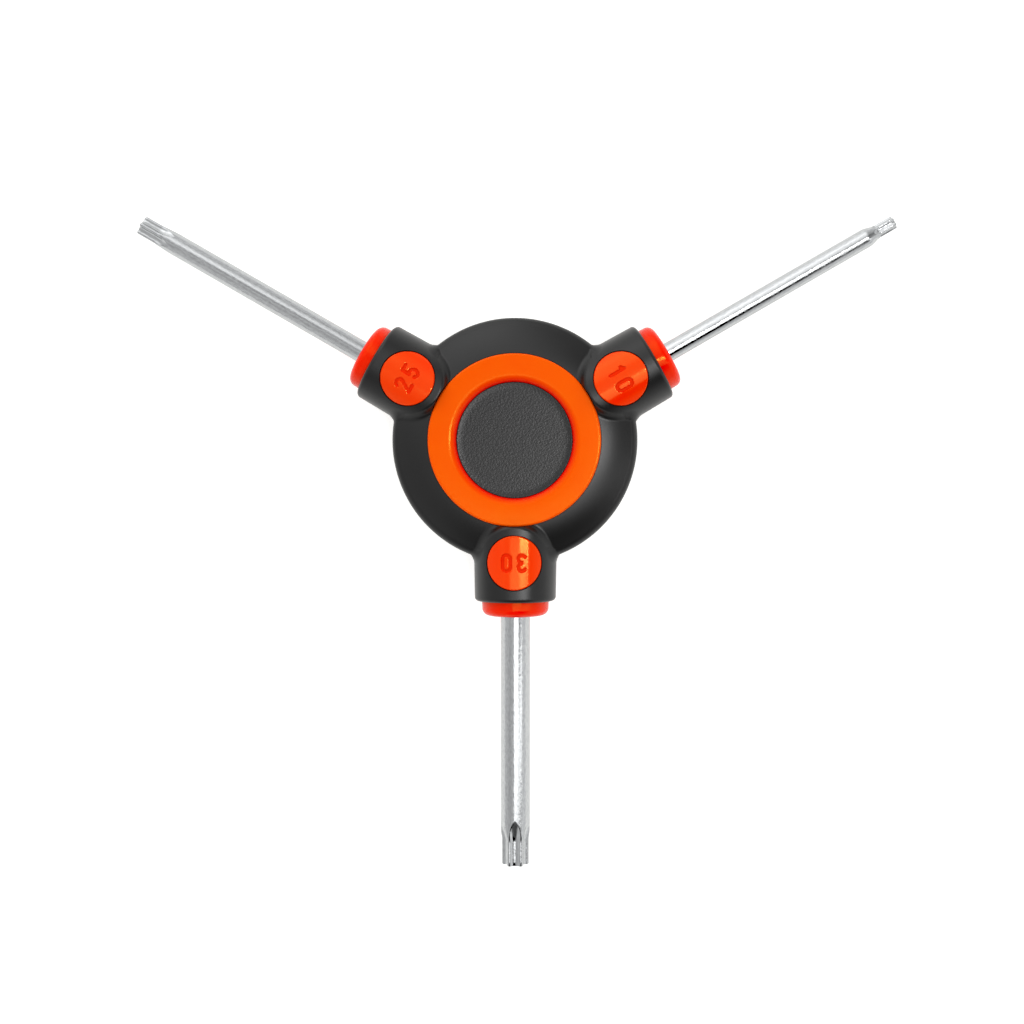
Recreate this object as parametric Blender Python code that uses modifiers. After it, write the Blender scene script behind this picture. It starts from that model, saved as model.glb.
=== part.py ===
# Three-arm driver tool: a round hub of two shells that carries three keys with six-lobed drive tips.
# The tips have sizes 10, 25 and 30.
# Metres, +Z up. The origin is the centre of the rear cap's flat face, on the hub's axis.
# The keys lie in the hub's mid-plane. Heights named here are measured from that plane, towards either face.
# Reach is measured from the hub's axis along an arm.

from math import cos, pi, radians, sin, sqrt

import bmesh
import bpy
from mathutils import Matrix, Vector

mm = 0.001

# Clearances and the reach of cutters past what they cut
fit_gap = 0.3 * mm
overrun = 1.0 * mm

# Core that holds the keys' inner ends, its cross pins and the hub's screws
core_height = 7.2 * mm
core_wall = 1.45 * mm
core_setback = 5.9 * mm
key_grip = 10.0 * mm
pin_setback = 5.0 * mm
pin_radius = 0.75 * mm
screw_radius = 1.1 * mm
screw_head_radius = 1.8 * mm
screw_head_height = 1.2 * mm
screw_head_sink = 0.3 * mm
screw_end_margin = 0.7 * mm
screw_socket_radius = 0.9 * mm
screw_socket_depth = 0.7 * mm
screw_chamfer = 0.3 * mm
boss_wall = 1.35 * mm
hexagon_sides = 6
small_sides = 16
cradle_steps = 8

# Cap and ring, which sit in the seat on each face of the hub
inlay_floor_thickness = 0.7 * mm
cap_thickness = 0.7 * mm
cap_recess = 0.6 * mm
cap_sweep_width = 1.1 * mm
cap_rise = 0.35 * mm
cap_edge_round = 0.2 * mm
ring_radius = 17.45 * mm
ring_stand = 0.55 * mm
ring_edge_round = 0.5 * mm
ring_crest_width = 4.2 * mm
ring_slope_width = 1.35 * mm
ring_slope_drop = 0.85 * mm
edge_steps = 3

# Hub body
annulus_width = 7.15 * mm
annulus_crown = 0.25 * mm
rim_height = 3.0 * mm
rim_round = 1.5 * mm
side_wall = 1.9 * mm
disc_sides = 48
slope_steps = 3
rim_steps = 4

# Size tabs
tab_radius = 5.5 * mm
tab_sink = 0.1 * mm
tab_thickness = 1.4 * mm
tab_sides = 28

# Necks
neck_side_margin = 2.9 * mm
neck_inner_margin = 1.25 * mm
neck_seat_gap = 0.15 * mm
neck_outer_wall = 0.75 * mm
neck_corner_round = 0.8 * mm
neck_sides = 32
neck_plan_steps = 12

# Collars
collar_inset = 1.65 * mm
collar_taper = 0.65 * mm
collar_stand = 3.25 * mm
collar_seat_depth = 1.2 * mm
collar_round = 0.9 * mm
collar_dome = 0.3 * mm
sleeve_wall = 0.8 * mm
sleeve_length = 7.0 * mm
collar_sides = 28

# Key of size 30, where the starts and ends of its taper and grooves are measured back from its tip
key_30_radius = 3.0 * mm
key_30_drive_width = 5.52 * mm
key_30_stand = 50.95 * mm
key_30_taper_start = 8.4 * mm
key_30_taper_end = 3.9 * mm
key_30_groove_start = 9.3 * mm
key_30_groove_full = 4.7 * mm

# Key of size 25
key_25_radius = 2.25 * mm
key_25_drive_width = 4.43 * mm
key_25_stand = 52.35 * mm
key_25_taper_start = 5.3 * mm
key_25_taper_end = 2.3 * mm
key_25_groove_start = 7.6 * mm
key_25_groove_full = 3.9 * mm

# Key of size 10
key_10_radius = 2.0 * mm
key_10_drive_width = 2.76 * mm
key_10_stand = 53.75 * mm
key_10_taper_start = 6.8 * mm
key_10_taper_end = 3.9 * mm
key_10_groove_start = 6.0 * mm
key_10_groove_full = 3.8 * mm

# All keys
key_end_chamfer = 0.4 * mm
tip_end_chamfer = 0.25 * mm
flat_share = 0.8
key_sides = 24

# Six-lobed drive section: its valleys and the round of its grooves are shares of the width over its lobes
lobe_count = 6
valley_share = 0.72
groove_share = 0.214
groove_runout = 0.1 * mm
groove_bevel_resolution = 2

# Heights above the mid-plane, from the core outwards
half_seam = fit_gap / 2
cavity_height = core_height / 2 + fit_gap
inlay_floor_height = cavity_height + inlay_floor_thickness
inlay_underside = inlay_floor_height + fit_gap
cap_face_height = inlay_underside + cap_thickness
annulus_inner_height = cap_face_height + cap_recess
ring_height = annulus_inner_height + ring_stand
ring_lip_height = ring_height - ring_slope_drop

# Radii about the hub's axis
seat_radius = ring_radius + fit_gap
disc_radius = seat_radius + annulus_width
ring_crest_radius = ring_radius - ring_crest_width
ring_bore_radius = ring_crest_radius - ring_slope_width
cap_radius = ring_bore_radius - fit_gap
cap_face_radius = cap_radius - cap_edge_round - cap_sweep_width

# Radii about an arm
neck_radius = tab_radius + neck_side_margin
tab_outer = neck_radius - tab_sink
tab_inner = tab_outer - tab_thickness
collar_radius = neck_radius - collar_inset
collar_tip_radius = collar_radius - collar_taper
widest_bar = max(key_30_radius, key_25_radius, key_10_radius)
sleeve_radius = widest_bar + fit_gap + sleeve_wall
pin_hole_radius = pin_radius + fit_gap

# Reaches along an arm, from the hub's axis outwards
core_reach = disc_radius - core_setback
key_inner_reach = core_reach - key_grip
pin_reach = core_reach - pin_setback
neck_inner_round = tab_radius + neck_inner_margin
tab_reach = seat_radius + neck_seat_gap + neck_inner_round
collar_seat_reach = tab_reach + tab_radius + fit_gap + neck_outer_wall
collar_inner_reach = collar_seat_reach + fit_gap
neck_reach = collar_inner_reach + collar_seat_depth
collar_reach = neck_reach + collar_stand
sleeve_reach = collar_inner_reach - sleeve_length

# Each key: its size number, the arm's direction, and the lengths that its size sets
keys = (
    {
        "size": 30,
        "direction": radians(-90),
        "groove_turn": radians(0),
        "bar_radius": key_30_radius,
        "drive_width": key_30_drive_width,
        "reach": collar_reach + key_30_stand,
        "taper_start": key_30_taper_start,
        "taper_end": key_30_taper_end,
        "groove_start": key_30_groove_start,
        "groove_full": key_30_groove_full,
    },
    {
        "size": 25,
        "direction": radians(150),
        "groove_turn": radians(30),
        "bar_radius": key_25_radius,
        "drive_width": key_25_drive_width,
        "reach": collar_reach + key_25_stand,
        "taper_start": key_25_taper_start,
        "taper_end": key_25_taper_end,
        "groove_start": key_25_groove_start,
        "groove_full": key_25_groove_full,
    },
    {
        "size": 10,
        "direction": radians(30),
        "groove_turn": radians(0),
        "bar_radius": key_10_radius,
        "drive_width": key_10_drive_width,
        "reach": collar_reach + key_10_stand,
        "taper_start": key_10_taper_start,
        "taper_end": key_10_taper_end,
        "groove_start": key_10_groove_start,
        "groove_full": key_10_groove_full,
    },
)
arm_count = len(keys)
arm_pitch = 2 * pi / arm_count
arm_directions = [key["direction"] for key in keys]
between_arms = [direction + arm_pitch / 2 for direction in arm_directions]

# Core arms, and the screws that stand in the cradles between them
core_arm_width = 2 * (widest_bar + fit_gap + core_wall)
cavity_radius = disc_radius - side_wall
cavity_flat_radius = sqrt(core_reach**2 + (core_arm_width / 2) ** 2) + fit_gap
screw_hole_radius = screw_radius + fit_gap
boss_radius = screw_hole_radius + boss_wall
cradle_radius = boss_radius + fit_gap
screw_circle = (core_arm_width / 2 + cradle_radius) / sin(arm_pitch / 2)
counterbore_radius = screw_head_radius + fit_gap
screw_head_top = inlay_floor_height - screw_head_sink
screw_head_seat = screw_head_top - screw_head_height
counterbore_height = screw_head_seat - fit_gap
screw_end_height = cavity_height - screw_end_margin

# The shells take many cuts one after another, which EXACT leaves with slivers at some sizes
shell_solver = "MANIFOLD"

# Merging distance, smooth shading and the turns that lay parts along an arm or over onto the rear
weld_distance = 0.01 * mm
sharp_angle = radians(35)
along_arm = (0, pi / 2, 0)
turned_over = (pi, 0, 0)


# Scene helpers


def clear_scene():
    for old in list(bpy.data.objects):
        bpy.data.objects.remove(old, do_unlink=True)


def new_collection(name):
    collection = bpy.data.collections.new(name)
    bpy.context.scene.collection.children.link(collection)
    return collection


def material(name, colour, roughness, metallic):
    made = bpy.data.materials.new(name)
    made.use_nodes = True
    shader = made.node_tree.nodes["Principled BSDF"]
    shader.inputs["Base Color"].default_value = (*colour, 1)
    shader.inputs["Roughness"].default_value = roughness
    shader.inputs["Metallic"].default_value = metallic
    made.diffuse_color = (*colour, 1)
    return made


def empty(name, parent=None, height=0, turn=(0, 0, 0)):
    made = bpy.data.objects.new(name, None)
    tool_parts.objects.link(made)
    made.parent = parent
    made.location.z = height
    made.rotation_euler = turn
    return made


def place(name, mesh, collection, parent, turn=(0, 0, 0)):
    made = bpy.data.objects.new(name, mesh)
    collection.objects.link(made)
    made.parent = parent
    made.rotation_euler = turn
    return made


def finish(part, look):
    """Gives a part its material and smooth round faces with sharp edges."""
    part.data.materials.append(look)
    part.data.shade_smooth()
    part.data.set_sharp_from_angle(angle=sharp_angle)


def as_guide(tool):
    tool.hide_render = True
    tool.display_type = "WIRE"
    return tool


def boolean(part, operation, tool, solver="EXACT"):
    step = part.modifiers.new(f"{operation.lower()} {tool.name}", "BOOLEAN")
    step.operation = operation
    step.solver = solver
    step.object = tool


# Shape helpers


def turned_mesh(name, profile, closed):
    """The profile of a turned shape, as (radius, height) points from the top down its outer side."""
    mesh = bpy.data.meshes.new(name)
    points = [(radius, 0, height) for radius, height in profile]
    edges = [(i, i + 1) for i in range(len(points) - 1)]
    if closed:
        edges.append((len(points) - 1, 0))
    mesh.from_pydata(points, edges, [])
    return mesh


def turn_profile(part, sides):
    screw = part.modifiers.new("turn", "SCREW")
    screw.steps = sides
    screw.render_steps = sides
    screw.use_merge_vertices = True
    screw.merge_threshold = weld_distance
    screw.use_smooth_shade = True


def turned(name, profile, sides, collection, parent, closed=False, turn=(0, 0, 0)):
    part = place(name, turned_mesh(name, profile, closed), collection, parent, turn)
    turn_profile(part, sides)
    return part


def arc(centre_radius, centre_height, radius, start, end, steps):
    """Points on a quarter round of a profile, from one angle to another."""
    points = []
    for step in range(steps + 1):
        angle = start + (end - start) * step / steps
        points.append((centre_radius + radius * cos(angle), centre_height + radius * sin(angle)))
    return points


def rods(name, radius, start, end, sides, directions):
    """Round bars along the arms, in the mid-plane, as one cutter with a body for each direction."""
    shape = bmesh.new()
    for direction in directions:
        along = Matrix.Rotation(direction, 4, "Z") @ Matrix.Translation(((start + end) / 2, 0, 0))
        bmesh.ops.create_cone(
            shape,
            cap_ends=True,
            segments=sides,
            radius1=radius,
            radius2=radius,
            depth=end - start,
            matrix=along @ Matrix.Rotation(pi / 2, 4, "Y"),
        )
    return mesh_from(name, shape)


def studs(name, radius, reach, bottom, top, sides, directions):
    """Upright round bars at one reach from the hub's axis, as one cutter with a body for each direction."""
    shape = bmesh.new()
    for direction in directions:
        centre = Vector((reach * cos(direction), reach * sin(direction), (bottom + top) / 2))
        bmesh.ops.create_cone(
            shape,
            cap_ends=True,
            segments=sides,
            radius1=radius,
            radius2=radius,
            depth=top - bottom,
            matrix=Matrix.Translation(centre) @ Matrix.Rotation(direction, 4, "Z"),
        )
    return mesh_from(name, shape)


def blocks(name, boxes):
    """Boxes given by their lowest and highest corners, as one mesh."""
    shape = bmesh.new()
    for low, high in boxes:
        size = high - low
        stretch = Matrix.Diagonal((*size, 1))
        bmesh.ops.create_cube(shape, size=1, matrix=Matrix.Translation((low + high) / 2) @ stretch)
    return mesh_from(name, shape)


def mesh_from(name, shape):
    mesh = bpy.data.meshes.new(name)
    shape.to_mesh(mesh)
    shape.free()
    return mesh


def mesh_of_curve(curve):
    """Turns a curve object into a mesh object in the same place, with its caps welded on."""
    bpy.context.view_layer.update()
    ready = curve.evaluated_get(bpy.context.evaluated_depsgraph_get())
    mesh = bpy.data.meshes.new_from_object(ready)
    shape = bmesh.new()
    shape.from_mesh(mesh)
    bmesh.ops.remove_doubles(shape, verts=shape.verts, dist=weld_distance)
    bmesh.ops.recalc_face_normals(shape, faces=shape.faces)
    shape.to_mesh(mesh)
    shape.free()
    name = curve.name
    curve.name = f"{name} outline"
    made = bpy.data.objects.new(name, mesh)
    for collection in curve.users_collection:
        collection.objects.link(made)
    made.parent = curve.parent
    made.matrix_world = curve.matrix_world
    bpy.data.objects.remove(curve, do_unlink=True)
    return made


def plate(name, outlines, bottom, top, collection, parent):
    """A flat plate with the given closed outlines, between two heights."""
    curve = bpy.data.curves.new(name, "CURVE")
    curve.dimensions = "2D"
    curve.fill_mode = "BOTH"
    curve.extrude = (top - bottom) / 2
    for outline in outlines:
        spline = curve.splines.new("POLY")
        spline.points.add(len(outline) - 1)
        spline.use_cyclic_u = True
        for point, (x, y) in zip(spline.points, outline):
            point.co = (x, y, 0, 1)
    made = bpy.data.objects.new(name, curve)
    collection.objects.link(made)
    made.parent = parent
    made.location.z = (bottom + top) / 2
    return mesh_of_curve(made)


def turned_about(point, direction):
    x, y = point
    return (x * cos(direction) - y * sin(direction), x * sin(direction) + y * cos(direction))


# Hub shells


def disc_profile():
    """The hub's round body in section: seat for the inlays, crowned slope, rounded rim and parting face."""
    slope_end = disc_radius - rim_round
    slope_drop = annulus_inner_height - rim_height - rim_round
    slope = []
    for step in range(slope_steps + 1):
        share = step / slope_steps
        crown = 4 * annulus_crown * share * (1 - share)
        radius = seat_radius + (slope_end - seat_radius) * share
        slope.append((radius, annulus_inner_height - slope_drop * share + crown))
    rim = arc(slope_end, rim_height, rim_round, pi / 2, 0, rim_steps)[1:]
    return [
        (0, inlay_floor_height),
        (seat_radius, inlay_floor_height),
        *slope,
        *rim,
        (disc_radius, half_seam),
        (0, half_seam),
    ]


def cavity_profile():
    """The hollow inside a shell, one wall thickness under the outside."""
    return [
        (0, cavity_height),
        (cavity_flat_radius, cavity_height),
        (cavity_radius, rim_height),
        (cavity_radius, -overrun),
        (0, -overrun),
    ]


def neck_outline():
    """One neck in plan: rounded at its inner end, and square at its outer end with rounded corners."""
    half_width = neck_radius + overrun
    outline = []
    for step in range(neck_plan_steps + 1):
        angle = pi / 2 + pi * step / neck_plan_steps
        outline.append((tab_reach + neck_inner_round * cos(angle), half_width * sin(angle)))
    corner_reach = neck_reach - neck_corner_round
    corner_width = neck_radius - neck_corner_round
    outline.append((corner_reach, -half_width))
    outline.extend(arc(corner_reach, -corner_width, neck_corner_round, -pi / 2, 0, edge_steps))
    outline.extend(arc(corner_reach, corner_width, neck_corner_round, 0, pi / 2, edge_steps))
    outline.append((corner_reach, half_width))
    return outline


def neck_blanks(side_name, frame):
    """The three necks of one shell as solids that end at the parting plane."""
    top = neck_radius + overrun
    outlines = [
        [turned_about(point, direction) for point in neck_outline()] for direction in arm_directions
    ]
    plan = plate(f"{side_name} neck plan", outlines, half_seam, top, cutters, frame)
    end = neck_reach + overrun
    rod_mesh = rods("neck rods", neck_radius, screw_circle, end, neck_sides, arm_directions)
    necks = place(f"{side_name} necks", rod_mesh, cutters, frame)
    boolean(necks, "INTERSECT", as_guide(plan))
    return as_guide(necks)


def tab_pockets(side_name, frame):
    """What the size tabs' pockets take out of a shell: round holes down to a floor along each neck."""
    top = neck_radius + overrun
    pocket_mesh = studs(
        "pocket studs", tab_radius + fit_gap, tab_reach, half_seam, top, tab_sides, arm_directions
    )
    pockets = place(f"{side_name} tab pockets", pocket_mesh, cutters, frame)
    floor_radius = tab_inner - fit_gap
    floor_mesh = rods(
        "pocket floors", floor_radius, screw_circle, neck_reach + overrun, neck_sides, arm_directions
    )
    floors = place(f"{side_name} pocket floors", floor_mesh, cutters, frame)
    boolean(pockets, "DIFFERENCE", as_guide(floors))
    return as_guide(pockets)


def shell(side_name, frame):
    """One half of the hub, without its screw holes."""
    part = turned(f"{side_name}_shell", disc_profile(), disc_sides, tool_parts, frame)
    cavity = turned(f"{side_name} cavity", cavity_profile(), disc_sides, cutters, frame)
    channel_mesh = rods(
        "sleeve channels",
        sleeve_radius + fit_gap,
        core_reach,
        neck_reach + overrun,
        collar_sides,
        arm_directions,
    )
    channels = place(f"{side_name} sleeve channels", channel_mesh, cutters, frame)
    seat_mesh = rods(
        "collar seats",
        collar_radius + fit_gap,
        collar_seat_reach,
        neck_reach + overrun,
        neck_sides,
        arm_directions,
    )
    seats = place(f"{side_name} collar seats", seat_mesh, cutters, frame)
    boss_mesh = studs(
        "bosses", boss_radius, screw_circle, half_seam, cavity_height + half_seam, small_sides, between_arms
    )
    bosses = place(f"{side_name} bosses", boss_mesh, cutters, frame)
    boolean(part, "UNION", neck_blanks(side_name, frame), shell_solver)
    boolean(part, "DIFFERENCE", as_guide(cavity), shell_solver)
    boolean(part, "DIFFERENCE", as_guide(channels), shell_solver)
    boolean(part, "DIFFERENCE", as_guide(seats), shell_solver)
    boolean(part, "DIFFERENCE", tab_pockets(side_name, frame), shell_solver)
    boolean(part, "UNION", as_guide(bosses), shell_solver)
    finish(part, black_plastic)
    return part


def front_shell():
    """The half that the screws bite into: blind holes in its bosses."""
    part = shell("front", front_frame)
    hole_mesh = studs(
        "pilot holes",
        screw_hole_radius,
        screw_circle,
        -overrun,
        screw_end_height + fit_gap,
        small_sides,
        between_arms,
    )
    holes = place("pilot holes", hole_mesh, cutters, front_frame)
    boolean(part, "DIFFERENCE", as_guide(holes), shell_solver)


def rear_shell():
    """The half that the screws pass through: clear holes with a counterbore for each head."""
    part = shell("rear", rear_frame)
    top = inlay_floor_height + overrun
    hole_mesh = studs(
        "clear holes", screw_hole_radius, screw_circle, -overrun, top, small_sides, between_arms
    )
    bore_mesh = studs(
        "counterbores",
        counterbore_radius,
        screw_circle,
        counterbore_height,
        top,
        small_sides,
        between_arms,
    )
    holes = place("clear holes", hole_mesh, cutters, rear_frame)
    bores = place("counterbores", bore_mesh, cutters, rear_frame)
    boolean(part, "DIFFERENCE", as_guide(holes), shell_solver)
    boolean(part, "DIFFERENCE", as_guide(bores), shell_solver)


# Inlays


def ring(side_name, frame):
    """The orange ring: proud of the hub, with a rounded outer edge and a wall that slopes to the cap."""
    round_radius = ring_radius - ring_edge_round
    round_height = ring_height - ring_edge_round
    profile = [
        (ring_crest_radius, ring_height),
        *arc(round_radius, round_height, ring_edge_round, pi / 2, 0, edge_steps),
        (ring_radius, inlay_underside),
        (ring_bore_radius, inlay_underside),
        (ring_bore_radius, ring_lip_height),
    ]
    part = turned(f"{side_name}_ring", profile, disc_sides, tool_parts, frame, closed=True)
    finish(part, orange_plastic)


def cap(side_name, frame):
    """The black disc inside the ring: a flat face that sweeps up to its edge."""
    rise_width = cap_radius - cap_edge_round - cap_face_radius
    sweep = []
    for step in range(1, edge_steps + 1):
        share = step / edge_steps
        sweep.append((cap_face_radius + rise_width * share, cap_face_height + cap_rise * share**2))
    profile = [
        (0, cap_face_height),
        (cap_face_radius, cap_face_height),
        *sweep,
        (cap_radius, cap_face_height + cap_rise - cap_edge_round),
        (cap_radius, inlay_underside),
        (0, inlay_underside),
    ]
    part = turned(f"{side_name}_cap", profile, disc_sides, tool_parts, frame)
    finish(part, textured_plastic)


def tab(side_name, key, turn):
    """A round size tab with its faces curved about the arm."""
    frame = arm_frames[key["size"]]
    name = f"{side_name}_tab_{key['size']}"
    stud_mesh = studs(name, tab_radius, tab_reach, half_seam, neck_radius + overrun, tab_sides, [0])
    part = place(name, stud_mesh, tool_parts, frame, turn)
    start = tab_reach - neck_radius
    end = tab_reach + neck_radius
    for operation, radius in (("INTERSECT", tab_outer), ("DIFFERENCE", tab_inner)):
        round_mesh = rods(f"{name} {operation.lower()}", radius, start, end, neck_sides, [0])
        boolean(part, operation, as_guide(place(round_mesh.name, round_mesh, cutters, frame, turn)))
    finish(part, tab_plastic)


# Arms


def collar(key):
    """The collar that a key leaves the hub through, with the sleeve that steadies it inside the neck."""
    bore = key["bar_radius"] + fit_gap
    shoulder = collar_reach - collar_dome
    profile = [
        (bore, collar_reach),
        *arc(
            collar_tip_radius - collar_round, shoulder - collar_round, collar_round, pi / 2, 0, edge_steps
        ),
        (collar_radius, neck_reach),
        (collar_radius, collar_inner_reach),
        (sleeve_radius, collar_inner_reach),
        (sleeve_radius, sleeve_reach),
        (bore, sleeve_reach),
    ]
    name = f"collar_{key['size']}"
    part = turned(
        name, profile, collar_sides, tool_parts, arm_frames[key["size"]], closed=True, turn=along_arm
    )
    finish(part, collar_plastic)


def key_profile(key):
    """A key in section: chamfered inner end, round bar, taper to the drive section and chamfered tip."""
    bar = key["bar_radius"]
    tip = key["drive_width"] / 2
    reach = key["reach"]
    return [
        (0, reach),
        (tip - tip_end_chamfer, reach),
        (tip, reach - tip_end_chamfer),
        (tip, reach - key["taper_end"]),
        (bar, reach - key["taper_start"]),
        (bar, key_inner_reach + key_end_chamfer),
        (bar - key_end_chamfer, key_inner_reach),
        (0, key_inner_reach),
    ]


def grooves(key):
    """The grooves between the drive section's lobes, each running out to the bar in a pointed arch."""
    width = key["drive_width"]
    radius = groove_share * width
    valley = valley_share * width / 2
    offset = valley + radius
    lift = key["bar_radius"] + groove_runout - valley
    slope = lift / (key["groove_start"] - key["groove_full"])
    start = key["reach"] - key["groove_start"] - overrun
    full = key["reach"] - key["groove_full"]
    path = [
        (start, offset + slope * (full - start)),
        (full, offset),
        (key["reach"] + overrun, offset),
    ]
    name = f"grooves {key['size']}"
    curve = bpy.data.curves.new(name, "CURVE")
    curve.dimensions = "3D"
    curve.bevel_depth = radius
    curve.bevel_resolution = groove_bevel_resolution
    curve.use_fill_caps = True
    for lobe in range(lobe_count):
        angle = key["groove_turn"] + 2 * pi * lobe / lobe_count
        spline = curve.splines.new("POLY")
        spline.points.add(len(path) - 1)
        for point, (along, away) in zip(spline.points, path):
            point.co = (along, away * sin(angle), away * cos(angle), 1)
    made = bpy.data.objects.new(name, curve)
    cutters.objects.link(made)
    made.parent = arm_frames[key["size"]]
    return as_guide(mesh_of_curve(made))


def anchor_flats(key):
    """What comes off the top and bottom of a key's inner end."""
    bar = key["bar_radius"]
    boxes = []
    for side in (-1, 1):
        heights = sorted((side * flat_share * bar, side * (bar + overrun)))
        low = Vector((key_inner_reach - overrun, -bar - overrun, heights[0]))
        high = Vector((core_reach, bar + overrun, heights[1]))
        boxes.append((low, high))
    name = f"anchor flats {key['size']}"
    return as_guide(place(name, blocks(name, boxes), cutters, arm_frames[key["size"]]))


def key_bar(key):
    """One key: turned bar, grooves at the tip, flats and a cross hole at the inner end."""
    frame = arm_frames[key["size"]]
    part = turned(f"key_{key['size']}", key_profile(key), key_sides, tool_parts, frame, turn=along_arm)
    hole_name = f"pin hole {key['size']}"
    hole_mesh = studs(
        hole_name,
        pin_hole_radius,
        pin_reach,
        -key["bar_radius"] - overrun,
        key["bar_radius"] + overrun,
        small_sides,
        [0],
    )
    hole = place(hole_name, hole_mesh, cutters, frame)
    boolean(part, "DIFFERENCE", grooves(key))
    boolean(part, "DIFFERENCE", anchor_flats(key))
    boolean(part, "DIFFERENCE", as_guide(hole))
    finish(part, bright_steel)


def anchor_pin(key):
    """The cross pin that keeps a key in the core."""
    name = f"anchor_pin_{key['size']}"
    pin_mesh = studs(name, pin_radius, pin_reach, -core_height / 2, core_height / 2, small_sides, [0])
    part = place(name, pin_mesh, tool_parts, arm_frames[key["size"]])
    finish(part, plain_steel)


# Inside the hub


def core_outline():
    """The spider in plan: three arms, with a round cradle between two arms for each screw boss."""
    outline = []
    half_width = core_arm_width / 2
    for direction in sorted(arm_directions):
        outline.append(turned_about((core_reach, -half_width), direction))
        outline.append(turned_about((core_reach, half_width), direction))
        boss = turned_about((screw_circle, 0), direction + arm_pitch / 2)
        start = direction - pi / 2
        sweep = pi - arm_pitch
        for step in range(cradle_steps + 1):
            angle = start - sweep * step / cradle_steps
            outline.append((boss[0] + cradle_radius * cos(angle), boss[1] + cradle_radius * sin(angle)))
    return outline


def core_socket(key):
    """What a key's flattened inner end takes out of the core."""
    frame = arm_frames[key["size"]]
    bar = key["bar_radius"]
    start = key_inner_reach - fit_gap
    end = core_reach + overrun
    socket_name = f"core socket {key['size']}"
    socket = place(
        socket_name, rods(socket_name, bar + fit_gap, start, end, key_sides, [0]), cutters, frame
    )
    half_height = flat_share * bar + fit_gap
    slab_box = (
        Vector((start - overrun, -bar - overrun, -half_height)),
        Vector((end + overrun, bar + overrun, half_height)),
    )
    slab_name = f"socket slab {key['size']}"
    slab = place(slab_name, blocks(slab_name, [slab_box]), cutters, frame)
    boolean(socket, "INTERSECT", as_guide(slab))
    return as_guide(socket)


def hub_core():
    """The metal spider that holds the keys' inner ends."""
    half_height = core_height / 2
    part = plate("hub_core", [core_outline()], -half_height, half_height, tool_parts, hub_frame)
    for key in keys:
        boolean(part, "DIFFERENCE", core_socket(key))
    hole_mesh = studs(
        "core pin holes",
        pin_hole_radius,
        pin_reach,
        -half_height - overrun,
        half_height + overrun,
        small_sides,
        arm_directions,
    )
    boolean(part, "DIFFERENCE", as_guide(place("core pin holes", hole_mesh, cutters, hub_frame)))
    finish(part, core_steel)


def shell_screw(number, direction):
    """A pan-head screw with a hexagon socket, from the rear shell into a boss of the front shell."""
    stand = empty(f"screw {number} stand", rear_frame)
    stand.location = (screw_circle * cos(direction), screw_circle * sin(direction), 0)
    profile = [
        (0, screw_head_top),
        (screw_head_radius - screw_chamfer, screw_head_top),
        (screw_head_radius, screw_head_top - screw_chamfer),
        (screw_head_radius, screw_head_seat),
        (screw_radius, screw_head_seat),
        (screw_radius, screw_chamfer - screw_end_height),
        (screw_radius - screw_chamfer, -screw_end_height),
        (0, -screw_end_height),
    ]
    part = turned(f"shell_screw_{number}", profile, small_sides, tool_parts, stand)
    name = f"screw socket {number}"
    socket_mesh = studs(
        name,
        screw_socket_radius,
        0,
        screw_head_top - screw_socket_depth,
        screw_head_top + overrun,
        hexagon_sides,
        [0],
    )
    boolean(part, "DIFFERENCE", as_guide(place(name, socket_mesh, cutters, stand)))
    finish(part, plain_steel)


clear_scene()
tool_parts = new_collection("three-arm driver tool")
cutters = new_collection("cutters")

black_plastic = material("black moulded nylon", (0.028, 0.028, 0.028), 0.5, 0)
textured_plastic = material("black textured nylon", (0.035, 0.034, 0.034), 0.65, 0)
orange_plastic = material("orange moulded ABS", (0.99, 0.13, 0.003), 0.4, 0)
tab_plastic = material("orange-red moulded ABS", (0.98, 0.075, 0.006), 0.38, 0)
collar_plastic = material("red moulded ABS", (0.92, 0.035, 0.01), 0.35, 0)
bright_steel = material("satin chromed steel", (0.72, 0.73, 0.74), 0.28, 1)
plain_steel = material("plain steel", (0.5, 0.5, 0.5), 0.4, 1)
core_steel = material("sintered steel", (0.3, 0.3, 0.31), 0.6, 1)

hub_frame = empty("hub frame", height=cap_face_height)
front_frame = empty("front frame", hub_frame)
rear_frame = empty("rear frame", hub_frame, turn=(0, pi, 0))
arm_frames = {
    key["size"]: empty(f"arm {key['size']}", hub_frame, turn=(0, 0, key["direction"])) for key in keys
}

front_shell()
rear_shell()
for side_name, frame, turn in (("front", front_frame, (0, 0, 0)), ("rear", rear_frame, turned_over)):
    ring(side_name, frame)
    cap(side_name, frame)
    for key in keys:
        tab(side_name, key, turn)
for key in keys:
    collar(key)
    key_bar(key)
    anchor_pin(key)
hub_core()
for number, direction in enumerate(between_arms, start=1):
    shell_screw(number, direction)
bpy.context.view_layer.update()
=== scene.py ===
from math import atan2, cos, pi, radians, sin, sqrt, tan

import bmesh
import bpy
import numpy as np
from mathutils import Matrix, Vector


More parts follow.
